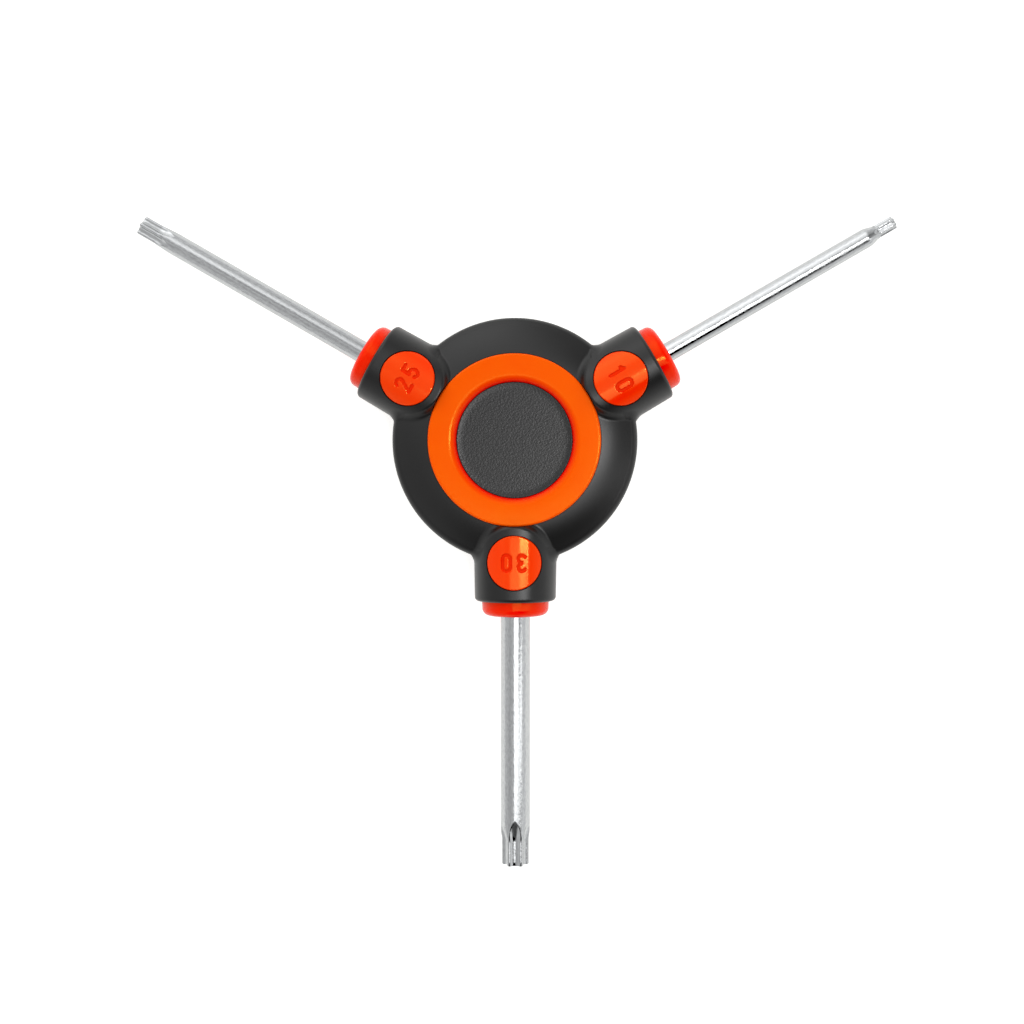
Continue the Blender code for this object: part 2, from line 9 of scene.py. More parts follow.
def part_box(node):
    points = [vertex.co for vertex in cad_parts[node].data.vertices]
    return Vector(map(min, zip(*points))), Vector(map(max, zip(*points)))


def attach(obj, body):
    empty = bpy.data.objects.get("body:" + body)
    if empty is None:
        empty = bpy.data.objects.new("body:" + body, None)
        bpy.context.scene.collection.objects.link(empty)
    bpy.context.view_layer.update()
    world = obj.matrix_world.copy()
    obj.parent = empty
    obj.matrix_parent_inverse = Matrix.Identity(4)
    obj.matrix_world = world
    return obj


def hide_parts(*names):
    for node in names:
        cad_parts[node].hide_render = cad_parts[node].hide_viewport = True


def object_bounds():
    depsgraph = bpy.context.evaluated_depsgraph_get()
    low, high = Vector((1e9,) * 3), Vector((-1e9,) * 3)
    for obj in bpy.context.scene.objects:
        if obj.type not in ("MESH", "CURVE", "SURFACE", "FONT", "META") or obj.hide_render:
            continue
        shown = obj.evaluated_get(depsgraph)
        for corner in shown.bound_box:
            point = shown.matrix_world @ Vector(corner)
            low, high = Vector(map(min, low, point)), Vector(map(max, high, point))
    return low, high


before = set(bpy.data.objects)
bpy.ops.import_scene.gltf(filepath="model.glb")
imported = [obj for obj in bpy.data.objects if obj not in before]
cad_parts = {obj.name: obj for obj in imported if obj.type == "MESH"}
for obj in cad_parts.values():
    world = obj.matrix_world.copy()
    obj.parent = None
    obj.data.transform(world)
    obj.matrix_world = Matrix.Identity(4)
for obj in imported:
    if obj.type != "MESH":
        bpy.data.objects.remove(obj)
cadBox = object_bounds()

# Shapes are drawn in millimetres from the hub's centre, with an arm along +X, then scaled and set in place
mm = 0.001
hubHeight = (cadBox[0].z + cadBox[1].z) / 2  # the keys' mid-plane, in metres
armTurn = {30: radians(-90), 25: radians(150), 10: radians(30)}
faceTurn = {"front": 0, "rear": pi}  # the rear is the front turned over about an arm
armPitch = 2 * pi / 3


def span(node):  # lowest and highest corner of a solid, from the hub's centre
    centre = Vector((0, 0, hubHeight))
    return [(corner - centre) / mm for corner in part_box(node)]


def reachOf(node, turn):  # how far a solid starts and ends along an arm
    corners = np.array([corner.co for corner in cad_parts[node].data.vertices]) / mm
    along = corners[:, 0] * cos(turn) + corners[:, 1] * sin(turn)
    return float(along.min()), float(along.max())


shellLow, shellHigh = span("front_shell")
ringLow, ringHigh = span("front_ring")
capLow = span("front_cap")[0]
tabLow, tabHigh = span("front_tab_30")
discRadius = shellHigh.y  # no neck reaches as far up as the disc does
neckReach = -shellLow.y
neckHeight = shellHigh.z
tabReach = -(tabLow.y + tabHigh.y) / 2
tabRadius = (tabHigh.x - tabLow.x) / 2


# Mesh helpers

def meshFrom(name, points, faces):
    mesh = bpy.data.meshes.new(name)
    mesh.from_pydata([tuple(point) for point in points], [], faces)
    return mesh


def meshOf(name, shape):
    bmesh.ops.recalc_face_normals(shape, faces=shape.faces)
    mesh = bpy.data.meshes.new(name)
    shape.to_mesh(mesh)
    shape.free()
    return mesh


def softened(corners, steps=5):  # (x, y, round) corners, whose rounds become arcs
    points = []
    for index, (x, y, rounding) in enumerate(corners):
        here = Vector((x, y))
        if not rounding:
            points.append((x, y))
            continue
        back = (Vector(corners[index - 1][:2]) - here).normalized()
        ahead = (Vector(corners[(index + 1) % len(corners)][:2]) - here).normalized()
        half = back.angle(ahead) / 2
        centre = here + (back + ahead).normalized() * (rounding / sin(half))
        start = here + back * (rounding / tan(half)) - centre
        end = here + ahead * (rounding / tan(half)) - centre
        sweep = atan2(start.x * end.y - start.y * end.x, start.dot(end))
        for step in range(steps + 1):
            bend = sweep * step / steps
            points.append((
                centre.x + start.x * cos(bend) - start.y * sin(bend),
                centre.y + start.x * sin(bend) + start.y * cos(bend),
            ))
    return points


def turned(name, profile, sides, closed=False):  # a lathe about Z from (radius, height) points
    shape = bmesh.new()
    points = [shape.verts.new((radius, 0, height)) for radius, height in profile]
    pairs = list(zip(points, points[1:])) + ([(points[-1], points[0])] if closed else [])
    edges = [shape.edges.new(pair) for pair in pairs]
    bmesh.ops.spin(shape, geom=points + edges, axis=(0, 0, 1), angle=2 * pi, steps=sides)
    bmesh.ops.remove_doubles(shape, verts=shape.verts, dist=1e-4)
    return meshOf(name, shape)


def addRod(shape, radius, start, end, turn=0, sides=96):  # a round bar out along an arm
    middle = Matrix.Translation(((start + end) / 2, 0, 0))
    bmesh.ops.create_cone(
        shape, cap_ends=True, segments=sides, radius1=radius, radius2=radius, depth=end - start,
        matrix=Matrix.Rotation(turn, 4, "Z") @ middle @ Matrix.Rotation(pi / 2, 4, "Y"))


def addPost(shape, radius, reach, bottom, top, turn=0, sides=96):  # an upright bar, out along an arm
    middle = Matrix.Translation((reach, 0, (bottom + top) / 2))
    bmesh.ops.create_cone(
        shape, cap_ends=True, segments=sides, radius1=radius, radius2=radius, depth=top - bottom,
        matrix=Matrix.Rotation(turn, 4, "Z") @ middle)


def addObject(name, mesh):
    made = bpy.data.objects.new(name, mesh)
    bpy.context.scene.collection.objects.link(made)
    return made


def cut(part, operation, name, tool):  # the manifold solver copes with meshes that the exact one tears
    step = part.modifiers.new(name, "BOOLEAN")
    step.operation = operation
    step.solver = "MANIFOLD"
    step.object = addObject(name, tool if isinstance(tool, bpy.types.Mesh) else meshOf(name, tool))


def settled(part):  # applies the modifiers and clears away what they cut with
    bpy.context.view_layer.update()
    mesh = bpy.data.meshes.new_from_object(part.evaluated_get(bpy.context.evaluated_depsgraph_get()))
    tools = [step.object for step in part.modifiers if step.type == "BOOLEAN"]
    for spent in [*tools, part]:
        bpy.data.objects.remove(spent, do_unlink=True)
    return mesh


def fit(name, mesh, material, node, turns, sharpAngle=35):  # scales, places and hands over a piece
    mesh.transform(Matrix.Scale(mm, 4))
    if not any(mesh.materials):  # a cut mesh brings an empty slot
        mesh.materials.clear()
        mesh.materials.append(material)
    mesh.shade_smooth()
    mesh.set_sharp_from_angle(angle=radians(sharpAngle))
    made = addObject(name, mesh)
    place = Matrix.Translation((0, 0, hubHeight))
    for axis, turn in turns:
        place = place @ Matrix.Rotation(turn, 4, axis)
    made.matrix_world = place
    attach(made, "root")
    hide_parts(node)
    return made


# Material helpers

def linear(code):  # an sRGB hex colour as the linear colour that the sockets take
    shares = [int(code[start:start + 2], 16) / 255 for start in (1, 3, 5)]
    return (*[share / 12.92 if share <= 0.04045 else ((share + 0.055) / 1.055) ** 2.4 for share in shares], 1)


def addNode(tree, kind, settings, links=()):  # a node with its settings, and links to its inputs
    node = tree.nodes.new(kind)
    for name, value in settings.items():
        if name == "stops":  # a colour ramp's (position, colour) pairs, in order
            while len(node.color_ramp.elements) < len(value):
                node.color_ramp.elements.new(1.0)
            for element, (position, colour) in zip(node.color_ramp.elements, value):
                element.position, element.color = position, colour
        elif isinstance(name, int) or not hasattr(node, name):
            node.inputs[name].default_value = value
        else:
            setattr(node, name, value)
    for name, source in dict(links).items():
        tree.links.new(source, node.inputs[name])
    return node


def newMaterial(name, settings):
    material = bpy.data.materials.new(name)
    material.use_nodes = True
    shader = material.node_tree.nodes["Principled BSDF"]
    for socket, value in settings.items():
        shader.inputs[socket].default_value = value
    return material, material.node_tree, shader


def perMetre(size):  # a texture scale for features of a size in millimetres
    return 1 / (size * mm)


# Glass-filled nylon, injection moulded in a finely blasted mould: near black, dull, with a fine even grain
nylonLook = {
    "colour": "#0a0a0a", "paler": "#100f0f", "patch": 9.0, "roughness": 0.32, "ior": 1.49,
    "grain": 0.22, "grainDepth": 0.012,
}


def mouldedNylon():
    material, tree, shader = newMaterial(
        "glass-filled nylon, blasted mould", {"Roughness": nylonLook["roughness"], "IOR": nylonLook["ior"]})
    place = addNode(tree, "ShaderNodeTexCoord", {}).outputs["Object"]
    patches = addNode(
        tree, "ShaderNodeTexNoise", {"Scale": perMetre(nylonLook["patch"]), "Detail": 4.0}, {"Vector": place})
    colour = addNode(tree, "ShaderNodeValToRGB", {
        "stops": [(0.35, linear(nylonLook["colour"])), (0.7, linear(nylonLook["paler"]))],
    }, {"Fac": patches.outputs["Fac"]})
    tree.links.new(colour.outputs["Color"], shader.inputs["Base Color"])
    grain = addNode(
        tree, "ShaderNodeTexNoise", {"Scale": perMetre(nylonLook["grain"]), "Detail": 2.0}, {"Vector": place})
    bump = addNode(
        tree, "ShaderNodeBump", {"Strength": 0.5, "Distance": nylonLook["grainDepth"] * mm},
        {"Height": grain.outputs["Fac"]})
    tree.links.new(bump.outputs["Normal"], shader.inputs["Normal"])
    return material


# The same nylon from a spark-eroded mould: a coarser sparkle that catches light where the dish turns up
sparkLook = {
    "colour": "#0a0a0a", "paler": "#110f0f", "roughness": 0.3, "ior": 1.49, "pit": 0.42, "grain": 0.2,
    "grainDepth": 0.04,
}


def sparkNylon():
    material, tree, shader = newMaterial(
        "glass-filled nylon, spark-eroded mould",
        {"Roughness": sparkLook["roughness"], "IOR": sparkLook["ior"]})
    place = addNode(tree, "ShaderNodeTexCoord", {}).outputs["Object"]
    pits = addNode(tree, "ShaderNodeTexVoronoi", {"Scale": perMetre(sparkLook["pit"])}, {"Vector": place})
    grain = addNode(
        tree, "ShaderNodeTexNoise", {"Scale": perMetre(sparkLook["grain"]), "Detail": 2.0}, {"Vector": place})
    both = addNode(
        tree, "ShaderNodeMath", {"operation": "ADD"}, {0: pits.outputs["Distance"], 1: grain.outputs["Fac"]})
    colour = addNode(tree, "ShaderNodeValToRGB", {
        "stops": [(0.3, linear(sparkLook["colour"])), (0.75, linear(sparkLook["paler"]))],
    }, {"Fac": grain.outputs["Fac"]})
    tree.links.new(colour.outputs["Color"], shader.inputs["Base Color"])
    bump = addNode(
        tree, "ShaderNodeBump", {"Strength": 0.6, "Distance": sparkLook["grainDepth"] * mm},
        {"Height": both.outputs[0]})
    tree.links.new(bump.outputs["Normal"], shader.inputs["Normal"])
    return material


# ABS, injection moulded in polished moulds: a strong even pigment under a smooth skin, with warm highlights.
# Some colours are painted shade: the ring's inner wall deepening to red, the darker red in the pressed
# digits, and the collars' deeper red.
absLooks = {
    "ring": {"name": "orange ABS, moulded", "colour": "#ff5400", "paler": "#ff5a00", "roughness": 0.16,
             "level": 0.3, "tint": "#fff860"},
    "tab": {"name": "orange-red ABS, moulded", "colour": "#ff2e00", "paler": "#ff3800", "roughness": 0.12,
            "level": 0.58, "tint": "#fff07a"},
    # The digits' darker red is painted shade in their pressed floors; their rougher finish is their own
    "number": {"name": "orange-red ABS, etched numbers", "colour": "#ee1400", "paler": "#f41a00",
               "roughness": 0.55, "level": 0.25, "tint": "#fff860"},
    # The collars' deeper red is painted shade, for the shadow at the arms' ends
    "collar": {"name": "orange ABS, moulded, with painted shade", "colour": "#ff0600", "paler": "#ff0c00", "roughness": 0.14,
               "level": 0.36, "tint": "#fff464"},
}
absSkin = {
    "ior": 1.5, "flow": 6.0, "dimple": 0.8, "dimpleDepth": 0.006,
    # Painted shade: the ring's colour turns a deeper red from the crest down the inner wall, standing in for
    # light that bounces from wall to wall inside the ring
    "wallShadeColour": "#fa0a00", "wallShadeStart": 11.7, "wallShadeEnd": 13.4,
}


def mouldedAbs(look, paintedWallShade=False):
    material, tree, shader = newMaterial(look["name"], {
        "Roughness": look["roughness"], "IOR": absSkin["ior"], "Specular Tint": linear(look["tint"]),
        "Specular IOR Level": look["level"]})
    place = addNode(tree, "ShaderNodeTexCoord", {}).outputs["Object"]
    flow = addNode(
        tree, "ShaderNodeTexNoise", {"Scale": perMetre(absSkin["flow"]), "Detail": 3.0}, {"Vector": place})
    colour = addNode(tree, "ShaderNodeValToRGB", {
        "stops": [(0.3, linear(look["colour"])), (0.75, linear(look["paler"]))],
    }, {"Fac": flow.outputs["Fac"]}).outputs["Color"]
    # Painted shade in the ring: the colour deepens to the wall's shade colour from the crest in to the bore
    if paintedWallShade:
        flat = addNode(tree, "ShaderNodeVectorMath", {"operation": "MULTIPLY", 1: (1, 1, 0)}, {0: place})
        radius = addNode(tree, "ShaderNodeVectorMath", {"operation": "LENGTH"}, {0: flat.outputs["Vector"]})
        outward = addNode(tree, "ShaderNodeMapRange", {
            "interpolation_type": "SMOOTHSTEP", "From Min": absSkin["wallShadeStart"] * mm,
            "From Max": absSkin["wallShadeEnd"] * mm}, {"Value": radius.outputs["Value"]})
        colour = addNode(tree, "ShaderNodeMix", {"data_type": "RGBA", 6: linear(absSkin["wallShadeColour"])}, {
            0: outward.outputs["Result"], 7: colour}).outputs[2]
    tree.links.new(colour, shader.inputs["Base Color"])
    skin = addNode(
        tree, "ShaderNodeTexNoise", {"Scale": perMetre(absSkin["dimple"]), "Detail": 3.0}, {"Vector": place})
    bump = addNode(
        tree, "ShaderNodeBump", {"Strength": 0.4, "Distance": absSkin["dimpleDepth"] * mm},
        {"Height": skin.outputs["Fac"]})
    tree.links.new(bump.outputs["Normal"], shader.inputs["Normal"])
    return material


# Hardened steel bar, drawn, then satin chromed: bright, with short marks along it that roughen highlights.
# Real marks are under 0.1 mm wide and wouldn't show, so they are drawn coarser
chromeLook = {
    "colour": "#c8cacb", "duller": "#b9bbbd", "roughness": 0.15, "drawn": 0.32, "drawnLength": 0.9,
    "drawnDepth": 0.05,
}


def satinChrome():
    material, tree, shader = newMaterial(
        "steel, satin chromed", {"Metallic": 1.0, "Roughness": chromeLook["roughness"]})
    place = addNode(tree, "ShaderNodeTexCoord", {}).outputs["Object"]
    fine = perMetre(chromeLook["drawn"])
    stretch = addNode(
        tree, "ShaderNodeMapping", {"Scale": (perMetre(chromeLook["drawnLength"]), fine, fine)},
        {"Vector": place})
    marks = addNode(
        tree, "ShaderNodeTexNoise", {"Scale": 1.0, "Detail": 3.0}, {"Vector": stretch.outputs["Vector"]})
    colour = addNode(tree, "ShaderNodeValToRGB", {
        "stops": [(0.3, linear(chromeLook["duller"])), (0.6, linear(chromeLook["colour"]))],
    }, {"Fac": marks.outputs["Fac"]})
    tree.links.new(colour.outputs["Color"], shader.inputs["Base Color"])
    bump = addNode(
        tree, "ShaderNodeBump", {"Strength": 0.5, "Distance": chromeLook["drawnDepth"] * mm},
        {"Height": marks.outputs["Fac"]})
    tree.links.new(bump.outputs["Normal"], shader.inputs["Normal"])
    return material


# Steel inside the hub: zinc-plated screws and pins with a faint spangle, and a core pressed and sintered from
# powder, which looks dull and grainy
innerLooks = {
    "zinc": {"name": "steel, zinc plated", "colour": "#a9acb0", "paler": "#c6c8ca", "roughness": 0.35,
             "grain": 1.5, "grainDepth": 0.004},
    "sintered": {"name": "steel, sintered", "colour": "#6c6b6a", "paler": "#85837f", "roughness": 0.6,
                 "grain": 0.15, "grainDepth": 0.02},
}


def innerMetal(look):
    material, tree, shader = newMaterial(look["name"], {"Metallic": 1.0, "Roughness": look["roughness"]})
    place = addNode(tree, "ShaderNodeTexCoord", {}).outputs["Object"]
    spots = addNode(
        tree, "ShaderNodeTexNoise", {"Scale": perMetre(look["grain"]), "Detail": 4.0}, {"Vector": place})
    tint = addNode(tree, "ShaderNodeValToRGB", {
        "stops": [(0.3, linear(look["colour"])), (0.7, linear(look["paler"]))],
    }, {"Fac": spots.outputs["Fac"]})
    tree.links.new(tint.outputs["Color"], shader.inputs["Base Color"])
    bump = addNode(
        tree, "ShaderNodeBump", {"Strength": 0.5, "Distance": look["grainDepth"] * mm},
        {"Height": spots.outputs["Fac"]})
    tree.links.new(bump.outputs["Normal"], shader.inputs["Normal"])
    return material


print("Materials")
blackNylon = mouldedNylon()
capNylon = sparkNylon()
ringAbs = mouldedAbs(absLooks["ring"], paintedWallShade=True)
tabAbs = mouldedAbs(absLooks["tab"])
digitShadeAbs = mouldedAbs(absLooks["number"])
shadedCollarAbs = mouldedAbs(absLooks["collar"])
chrome = satinChrome()
zincSteel = innerMetal(innerLooks["zinc"])
sinteredSteel = innerMetal(innerLooks["sintered"])


# Hub body: a disc with a sloping face and three necks, all as one smooth skin
hub = {
    # The disc: heights at the ring and at the rim, how far the slope between them bulges, and the rim's round
    "innerHeight": 6.2, "slopeStart": ringHigh.x, "slopeEnd": 23.6, "slopeEndHeight": 4.35, "crown": 0.25,
    "rimRound": 1.1,
    # The necks: half widths and heights at root and end, which a squareness of 2 would make round in section
    "rootWidth": 8.42, "endWidth": 8.28, "rootHeight": 8.08, "heightStart": 17.0, "endHeight": 8.38,
    "squareness": 2.26, "endCorner": 0.75,
    # The necks' inner ends, which are round in plan about the tabs, and the fillets where they meet the disc
    "innerRound": 7.65, "innerSlackStart": 3.0, "innerSlack": 0.8, "crestRound": 0.8,
    "rimBlend": 1.6, "faceBlend": 1.3, "blendReach": 3.0,
    # How the skin is found: rough voxels, drawn onto it and evened out
    "voxel": 0.3, "blankSides": 128, "blankInset": 0.2, "relaxRounds": 5, "ceiling": 12.0, "halvings": 26,
}


def roundOff(a, b, radius):  # where two skins meet in a rounded edge
    outside = np.hypot(np.maximum(radius + a, 0), np.maximum(radius + b, 0))
    return np.minimum(-radius, np.maximum(a, b)) + outside


def roundIn(a, b, radius):  # where two bodies join in a fillet
    inside = np.hypot(np.maximum(radius - a, 0), np.maximum(radius - b, 0))
    return np.maximum(radius, np.minimum(a, b)) - inside


def bodyField(points):  # under zero inside the body, and near its skin about the distance from it
    x, y, z = points.T
    height, radius = np.abs(z), np.hypot(x, y)
    share = (radius - hub["slopeStart"]) / (hub["slopeEnd"] - hub["slopeStart"])
    fall = hub["innerHeight"] - hub["slopeEndHeight"]
    crown = 4 * hub["crown"] * np.clip(share, 0, 1) * (1 - np.clip(share, 0, 1))
    slope = hub["innerHeight"] - fall * np.maximum(share, 0) + crown
    steepness = fall / (hub["slopeEnd"] - hub["slopeStart"])
    body = roundOff((height - slope) / sqrt(1 + steepness**2), radius - discRadius, hub["rimRound"])
    for arm in range(3):
        along = x * cos(arm * armPitch) + y * sin(arm * armPitch)
        across = y * cos(arm * armPitch) - x * sin(arm * armPitch)
        taper = np.clip((along - tabReach) / (neckReach - tabReach), 0, 1)
        width = hub["rootWidth"] + (hub["endWidth"] - hub["rootWidth"]) * taper
        rise = np.clip((along - hub["heightStart"]) / (neckReach - hub["heightStart"]), 0, 1)
        tall = hub["rootHeight"] + (hub["endHeight"] - hub["rootHeight"]) * rise
        power = hub["squareness"]
        side = ((np.abs(across / width) ** power + np.abs(z / tall) ** power) ** (1 / power) - 1) * tall
        end = along - neckReach
        slack = hub["innerSlack"] * np.maximum(along - tabReach + hub["innerSlackStart"], 0)
        inner = np.hypot(np.minimum(along - tabReach, 0), across) - hub["innerRound"] - slack
        neck = roundOff(roundOff(side, end, hub["endCorner"]), inner, hub["crestRound"])
        outward = np.clip((along - tabReach + hub["blendReach"]) / hub["blendReach"], 0, 1)
        blend = hub["faceBlend"] + (hub["rimBlend"] - hub["faceBlend"]) * outward
        body = roundIn(body, neck, blend)
    return body


def bodySlope(points, step=1e-3):  # which way the field grows fastest
    slope = np.empty_like(points)
    for axis, shift in enumerate(np.eye(3) * step):
        slope[:, axis] = (bodyField(points + shift) - bodyField(points - shift)) / (2 * step)
    return slope


def ontoBody(points, rounds=2, longest=0.5):  # moves points onto the skin, in steps no longer than a limit
    for _ in range(rounds):
        slope = bodySlope(points)
        move = bodyField(points) / np.maximum((slope**2).sum(axis=1), 1e-3)
        points = points - slope * np.clip(move, -longest, longest)[:, None]
    return points


def skinHeight(x, y, sink):  # how high the skin stands over a place in plan, sunk by a depth
    low, high = np.zeros_like(x), np.full_like(x, hub["ceiling"])
    for _ in range(hub["halvings"]):
        middle = (low + high) / 2
        inside = bodyField(np.stack([x, y, middle], axis=1)) < -sink
        low, high = np.where(inside, middle, low), np.where(inside, high, middle)
    return (low + high) / 2


def hubBlank():  # a rough body in voxels, drawn onto the skin and evened out
    face, edge = hub["innerHeight"], hub["slopeEndHeight"]
    upper = [
        (0, face), (hub["slopeStart"], face), (hub["slopeEnd"], edge), (discRadius, edge - hub["rimRound"])]
    profile = upper + [(radius, -height) for radius, height in reversed(upper)]
    shape = bmesh.new()
    shape.from_mesh(turned("disc", profile, hub["blankSides"]))
    for arm in range(3):
        addRod(shape, neckHeight, tabReach - hub["innerRound"], neckReach - hub["blankInset"], arm * armPitch)
    rough = addObject("rough", meshOf("rough", shape))
    voxels = rough.modifiers.new("voxels", "REMESH")
    voxels.mode = "VOXEL"
    voxels.voxel_size = hub["voxel"]
    mesh = settled(rough)
    points = np.array([corner.co for corner in mesh.vertices])
    pairs = np.array([edge.vertices for edge in mesh.edges])
    neighbours = np.bincount(pairs.ravel(), minlength=len(points))[:, None]
    for _ in range(hub["relaxRounds"]):
        points = ontoBody(points)
        around = np.zeros_like(points)
        np.add.at(around, pairs[:, 0], points[pairs[:, 1]])
        np.add.at(around, pairs[:, 1], points[pairs[:, 0]])
        points = (points + around / neighbours) / 2
    mesh.vertices.foreach_set("co", ontoBody(points, rounds=4).astype(np.float32).ravel())
    mesh.update()
    return mesh


# What is cut from each half of the body: seats for the inlays, tabs and collars, and the hollow inside
shell = {
    "seam": 0.08, "seatGap": 0.1, "seatFloor": 4.6, "pocketGap": 0.12, "pocketFloor": 6.6,
    "collarRadius": 6.9, "collarSeat": 31.2, "channelRadius": 4.4, "channelStart": 19.0,
    "hollowHeight": 3.9, "hollowFlat": 19.9, "hollowEdge": 3.0, "wall": 1.9,
    "bossRadius": 2.75, "bossReach": 9.0, "pilotRadius": 1.4, "pilotDepth": 3.5,
    "headRadius": 2.1, "headSeat": 2.8,
    # Where cutters start and end beyond what they cut, and how many sides they have
    "pocketBottom": 0.5, "bossOverlap": 0.1, "overrun": 1, "farOverrun": 5,
    "hollowSides": 96, "seatSides": 192, "holeSides": 32,
}


def shellMesh(side, blank):
    part = addObject("shell blank", blank.copy())
    far, over = neckReach + shell["farOverrun"], shell["overrun"]
    half = bmesh.new()
    box = Matrix.Translation((0, 0, shell["seam"] + far)) @ Matrix.Scale(2 * far, 4)
    bmesh.ops.create_cube(half, size=1, matrix=box)
    cut(part, "INTERSECT", "half", half)
    wallRadius = discRadius - shell["wall"]
    cut(part, "DIFFERENCE", "hollow", turned("hollow", [
        (0, shell["hollowHeight"]), (shell["hollowFlat"], shell["hollowHeight"]),
        (wallRadius, shell["hollowEdge"]), (wallRadius, -over), (0, -over)], shell["hollowSides"]))
    seat = bmesh.new()
    addPost(seat, ringHigh.x + shell["seatGap"], 0, shell["seatFloor"], neckHeight + over,
            sides=shell["seatSides"])
    cut(part, "DIFFERENCE", "inlay seat", seat)
    pockets, floors, channels, seats, bosses = (bmesh.new() for _ in range(5))
    for arm in range(3):
        turn = arm * armPitch
        addPost(pockets, tabRadius + shell["pocketGap"], tabReach, shell["pocketBottom"], neckHeight + over,
                turn)
        addRod(floors, shell["pocketFloor"], shell["bossReach"], neckReach + over, turn)
        addRod(channels, shell["channelRadius"], shell["channelStart"], far, turn)
        addRod(seats, shell["collarRadius"] + shell["pocketGap"], shell["collarSeat"], far, turn)
        addPost(bosses, shell["bossRadius"], shell["bossReach"], shell["seam"],
                shell["hollowHeight"] + shell["bossOverlap"], turn + armPitch / 2)
    pocketBlock = addObject("pocket blocks", meshOf("pocket blocks", pockets))
    cut(pocketBlock, "DIFFERENCE", "pocket floors", floors)
    cut(part, "DIFFERENCE", "tab pockets", settled(pocketBlock))
    cut(part, "DIFFERENCE", "sleeve channels", channels)
    cut(part, "DIFFERENCE", "collar seats", seats)
    cut(part, "UNION", "bosses", bosses)
    holes, heads = bmesh.new(), bmesh.new()
    top = shell["pilotDepth"] if side == "front" else shell["seatFloor"] + over
    for arm in range(3):
        turn = (arm + 0.5) * armPitch
        addPost(holes, shell["pilotRadius"], shell["bossReach"], -over, top, turn, sides=shell["holeSides"])
        addPost(heads, shell["headRadius"], shell["bossReach"], shell["headSeat"], shell["seatFloor"] + over,
                turn, sides=shell["holeSides"])
    cut(part, "DIFFERENCE", "screw holes", holes)
    if side == "rear":
        cut(part, "DIFFERENCE", "head seats", heads)
    else:
        heads.free()
    return settled(part)


# Shades the moulded skin by its true slope, and leaves the cut faces as they are
def polish(made, nearSkin=0.004, facingSkin=0.8):
    mesh = made.data
    points = np.array([corner.co for corner in mesh.vertices]) / mm
    skin = np.abs(bodyField(points)) < nearSkin
    slope = bodySlope(points)
    slope /= np.maximum(np.linalg.norm(slope, axis=1), 1e-6)[:, None]
    normals = np.zeros((len(mesh.loops), 3))
    for face in mesh.polygons:
        facing = np.array(face.normal)
        for loop in face.loop_indices:
            corner = mesh.loops[loop].vertex_index
            if skin[corner] and slope[corner] @ facing > facingSkin:
                normals[loop] = slope[corner]
    mesh.normals_split_custom_set([tuple(normal) for normal in normals])


print("Hub shells")
blank = hubBlank()
for side, turn in faceTurn.items():
    made = fit(f"shell.{side}", shellMesh(side, blank), blackNylon, f"{side}_shell",
               [("Z", armTurn[10]), ("X", turn)])
    polish(made)
    print(side, len(made.data.vertices), "corners")


# Ring: all but flat on top, with a soft outer edge and a wall that falls to the cap
ring = {
    "crestRadius": 13.4, "boreRadius": 11.7, "wallTop": 5.3, "crown": 0.03, "edgeRound": 0.45,
    "edgeShare": 1.4,  # the round starts this many times its own size in from the edge
    "sides": 256, "edgeSteps": 8, "shoulderSteps": 14,
}


def ringMesh():
    outer, top = ringHigh.x, ringHigh.z
    middle = (outer + ring["crestRadius"]) / 2
    profile = softened([
        (middle, top, 0),
        (outer - ring["edgeShare"] * ring["edgeRound"], top - ring["crown"], 0),
        (outer, top - ring["crown"], ring["edgeRound"]),
        (outer, ringLow.z, 0),
        (ring["boreRadius"], ringLow.z, 0),
    ], steps=ring["edgeSteps"])
    wide = ring["crestRadius"] - ring["boreRadius"]
    high = top - ring["crown"] - ring["wallTop"]
    for step in range(ring["shoulderSteps"] + 1):  # the inner shoulder is a quarter of an ellipse
        turn = pi / 2 * step / ring["shoulderSteps"]
        profile.append((ring["boreRadius"] + wide * (1 - cos(turn)), ring["wallTop"] + high * sin(turn)))
    return turned("ring", profile, ring["sides"], closed=True)


# Cap: a shallow dish whose edge turns up
cap = {
    "face": 5.6, "flatRadius": 10.2, "rise": 0.12, "edgeRound": 0.1, "gap": 0.03, "sides": 192,
    "sweepSteps": 10, "edgeSteps": 5,
}


def capMesh():
    outer = ring["boreRadius"] - cap["gap"]
    face, rim = cap["face"], cap["face"] + cap["rise"]
    sweep = [(cap["flatRadius"] * share, face) for share in (0, 0.25, 0.5, 0.75)]
    for step in range(cap["sweepSteps"] + 1):
        share = step / cap["sweepSteps"]
        radius = cap["flatRadius"] + (outer - cap["edgeRound"] - cap["flatRadius"]) * share
        sweep.append((radius, face + cap["rise"] * share**2))
    for step in range(1, cap["edgeSteps"] + 1):
        turn = step / cap["edgeSteps"] * pi / 2
        sweep.append((outer - cap["edgeRound"] * (1 - sin(turn)), rim - cap["edgeRound"] * (1 - cos(turn))))
    return turned("cap", [*sweep, (outer, capLow.z), (0, capLow.z)], cap["sides"])


print("Ring and cap")
for side, turn in faceTurn.items():
    turns = [("Z", armTurn[10]), ("X", turn)]
    fit(f"ring.{side}", ringMesh(), ringAbs, f"{side}_ring", turns)
    fit(f"cap.{side}", capMesh(), capNylon, f"{side}_cap", turns)


